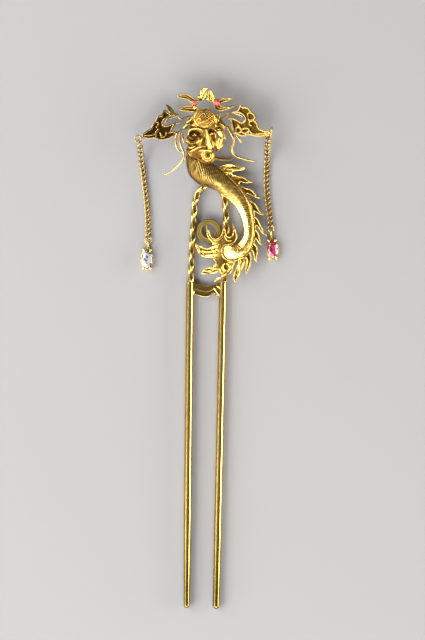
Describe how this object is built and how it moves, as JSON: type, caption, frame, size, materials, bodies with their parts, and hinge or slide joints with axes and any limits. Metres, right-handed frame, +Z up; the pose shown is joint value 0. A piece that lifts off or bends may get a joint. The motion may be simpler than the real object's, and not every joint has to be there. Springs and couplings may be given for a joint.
{
  "type": "two-pronged hairpin",
  "caption": "Gold hairpin: a fork with long prongs, a twisted wire arch and a dragon-fish, with openwork side panels that carry chains with marquise drops.",
  "frame": {"origin": "middle of the footprint, on the surface that the pin lies on", "axes": "+Z up out of the ornament's front, +Y from the prong tips to the crest, +X to the right as seen from above"},
  "size_m": [0.0418, 0.151, 0.0078],
  "materials": {
    "gold": "polished high-carat yellow gold",
    "gold_chain": "bright drawn gold wire",
    "gold_dark": "darkened gold wire",
    "pink_bead": "polished pink bead",
    "clear_stone": "faceted, colourless",
    "red_stone": "faceted, pink-red"
  },
  "bodies": {
    "root": {"fork": "gold", "twisted_arch": "gold", "coil_ring": "gold_dark", "fish_body": "gold", "dorsal_fins": "gold", "tail_fin": "gold", "head": "gold", "forehead_cap": "gold", "crest": "gold", "antler_left": "gold", "antler_right": "gold", "bead_left": "pink_bead", "bead_right": "pink_bead", "collar_left": "gold", "whiskers_left": "gold", "whiskers_right": "gold", "scroll_left": "gold", "scroll_right": "gold", "chain_left": "gold_chain", "chain_right": "gold_chain", "hoop_left": "gold_chain", "hoop_right": "gold_chain", "setting_left": "gold", "setting_right": "gold", "stone_left": "clear_stone", "stone_right": "red_stone"}
  },
  "joints": []
}
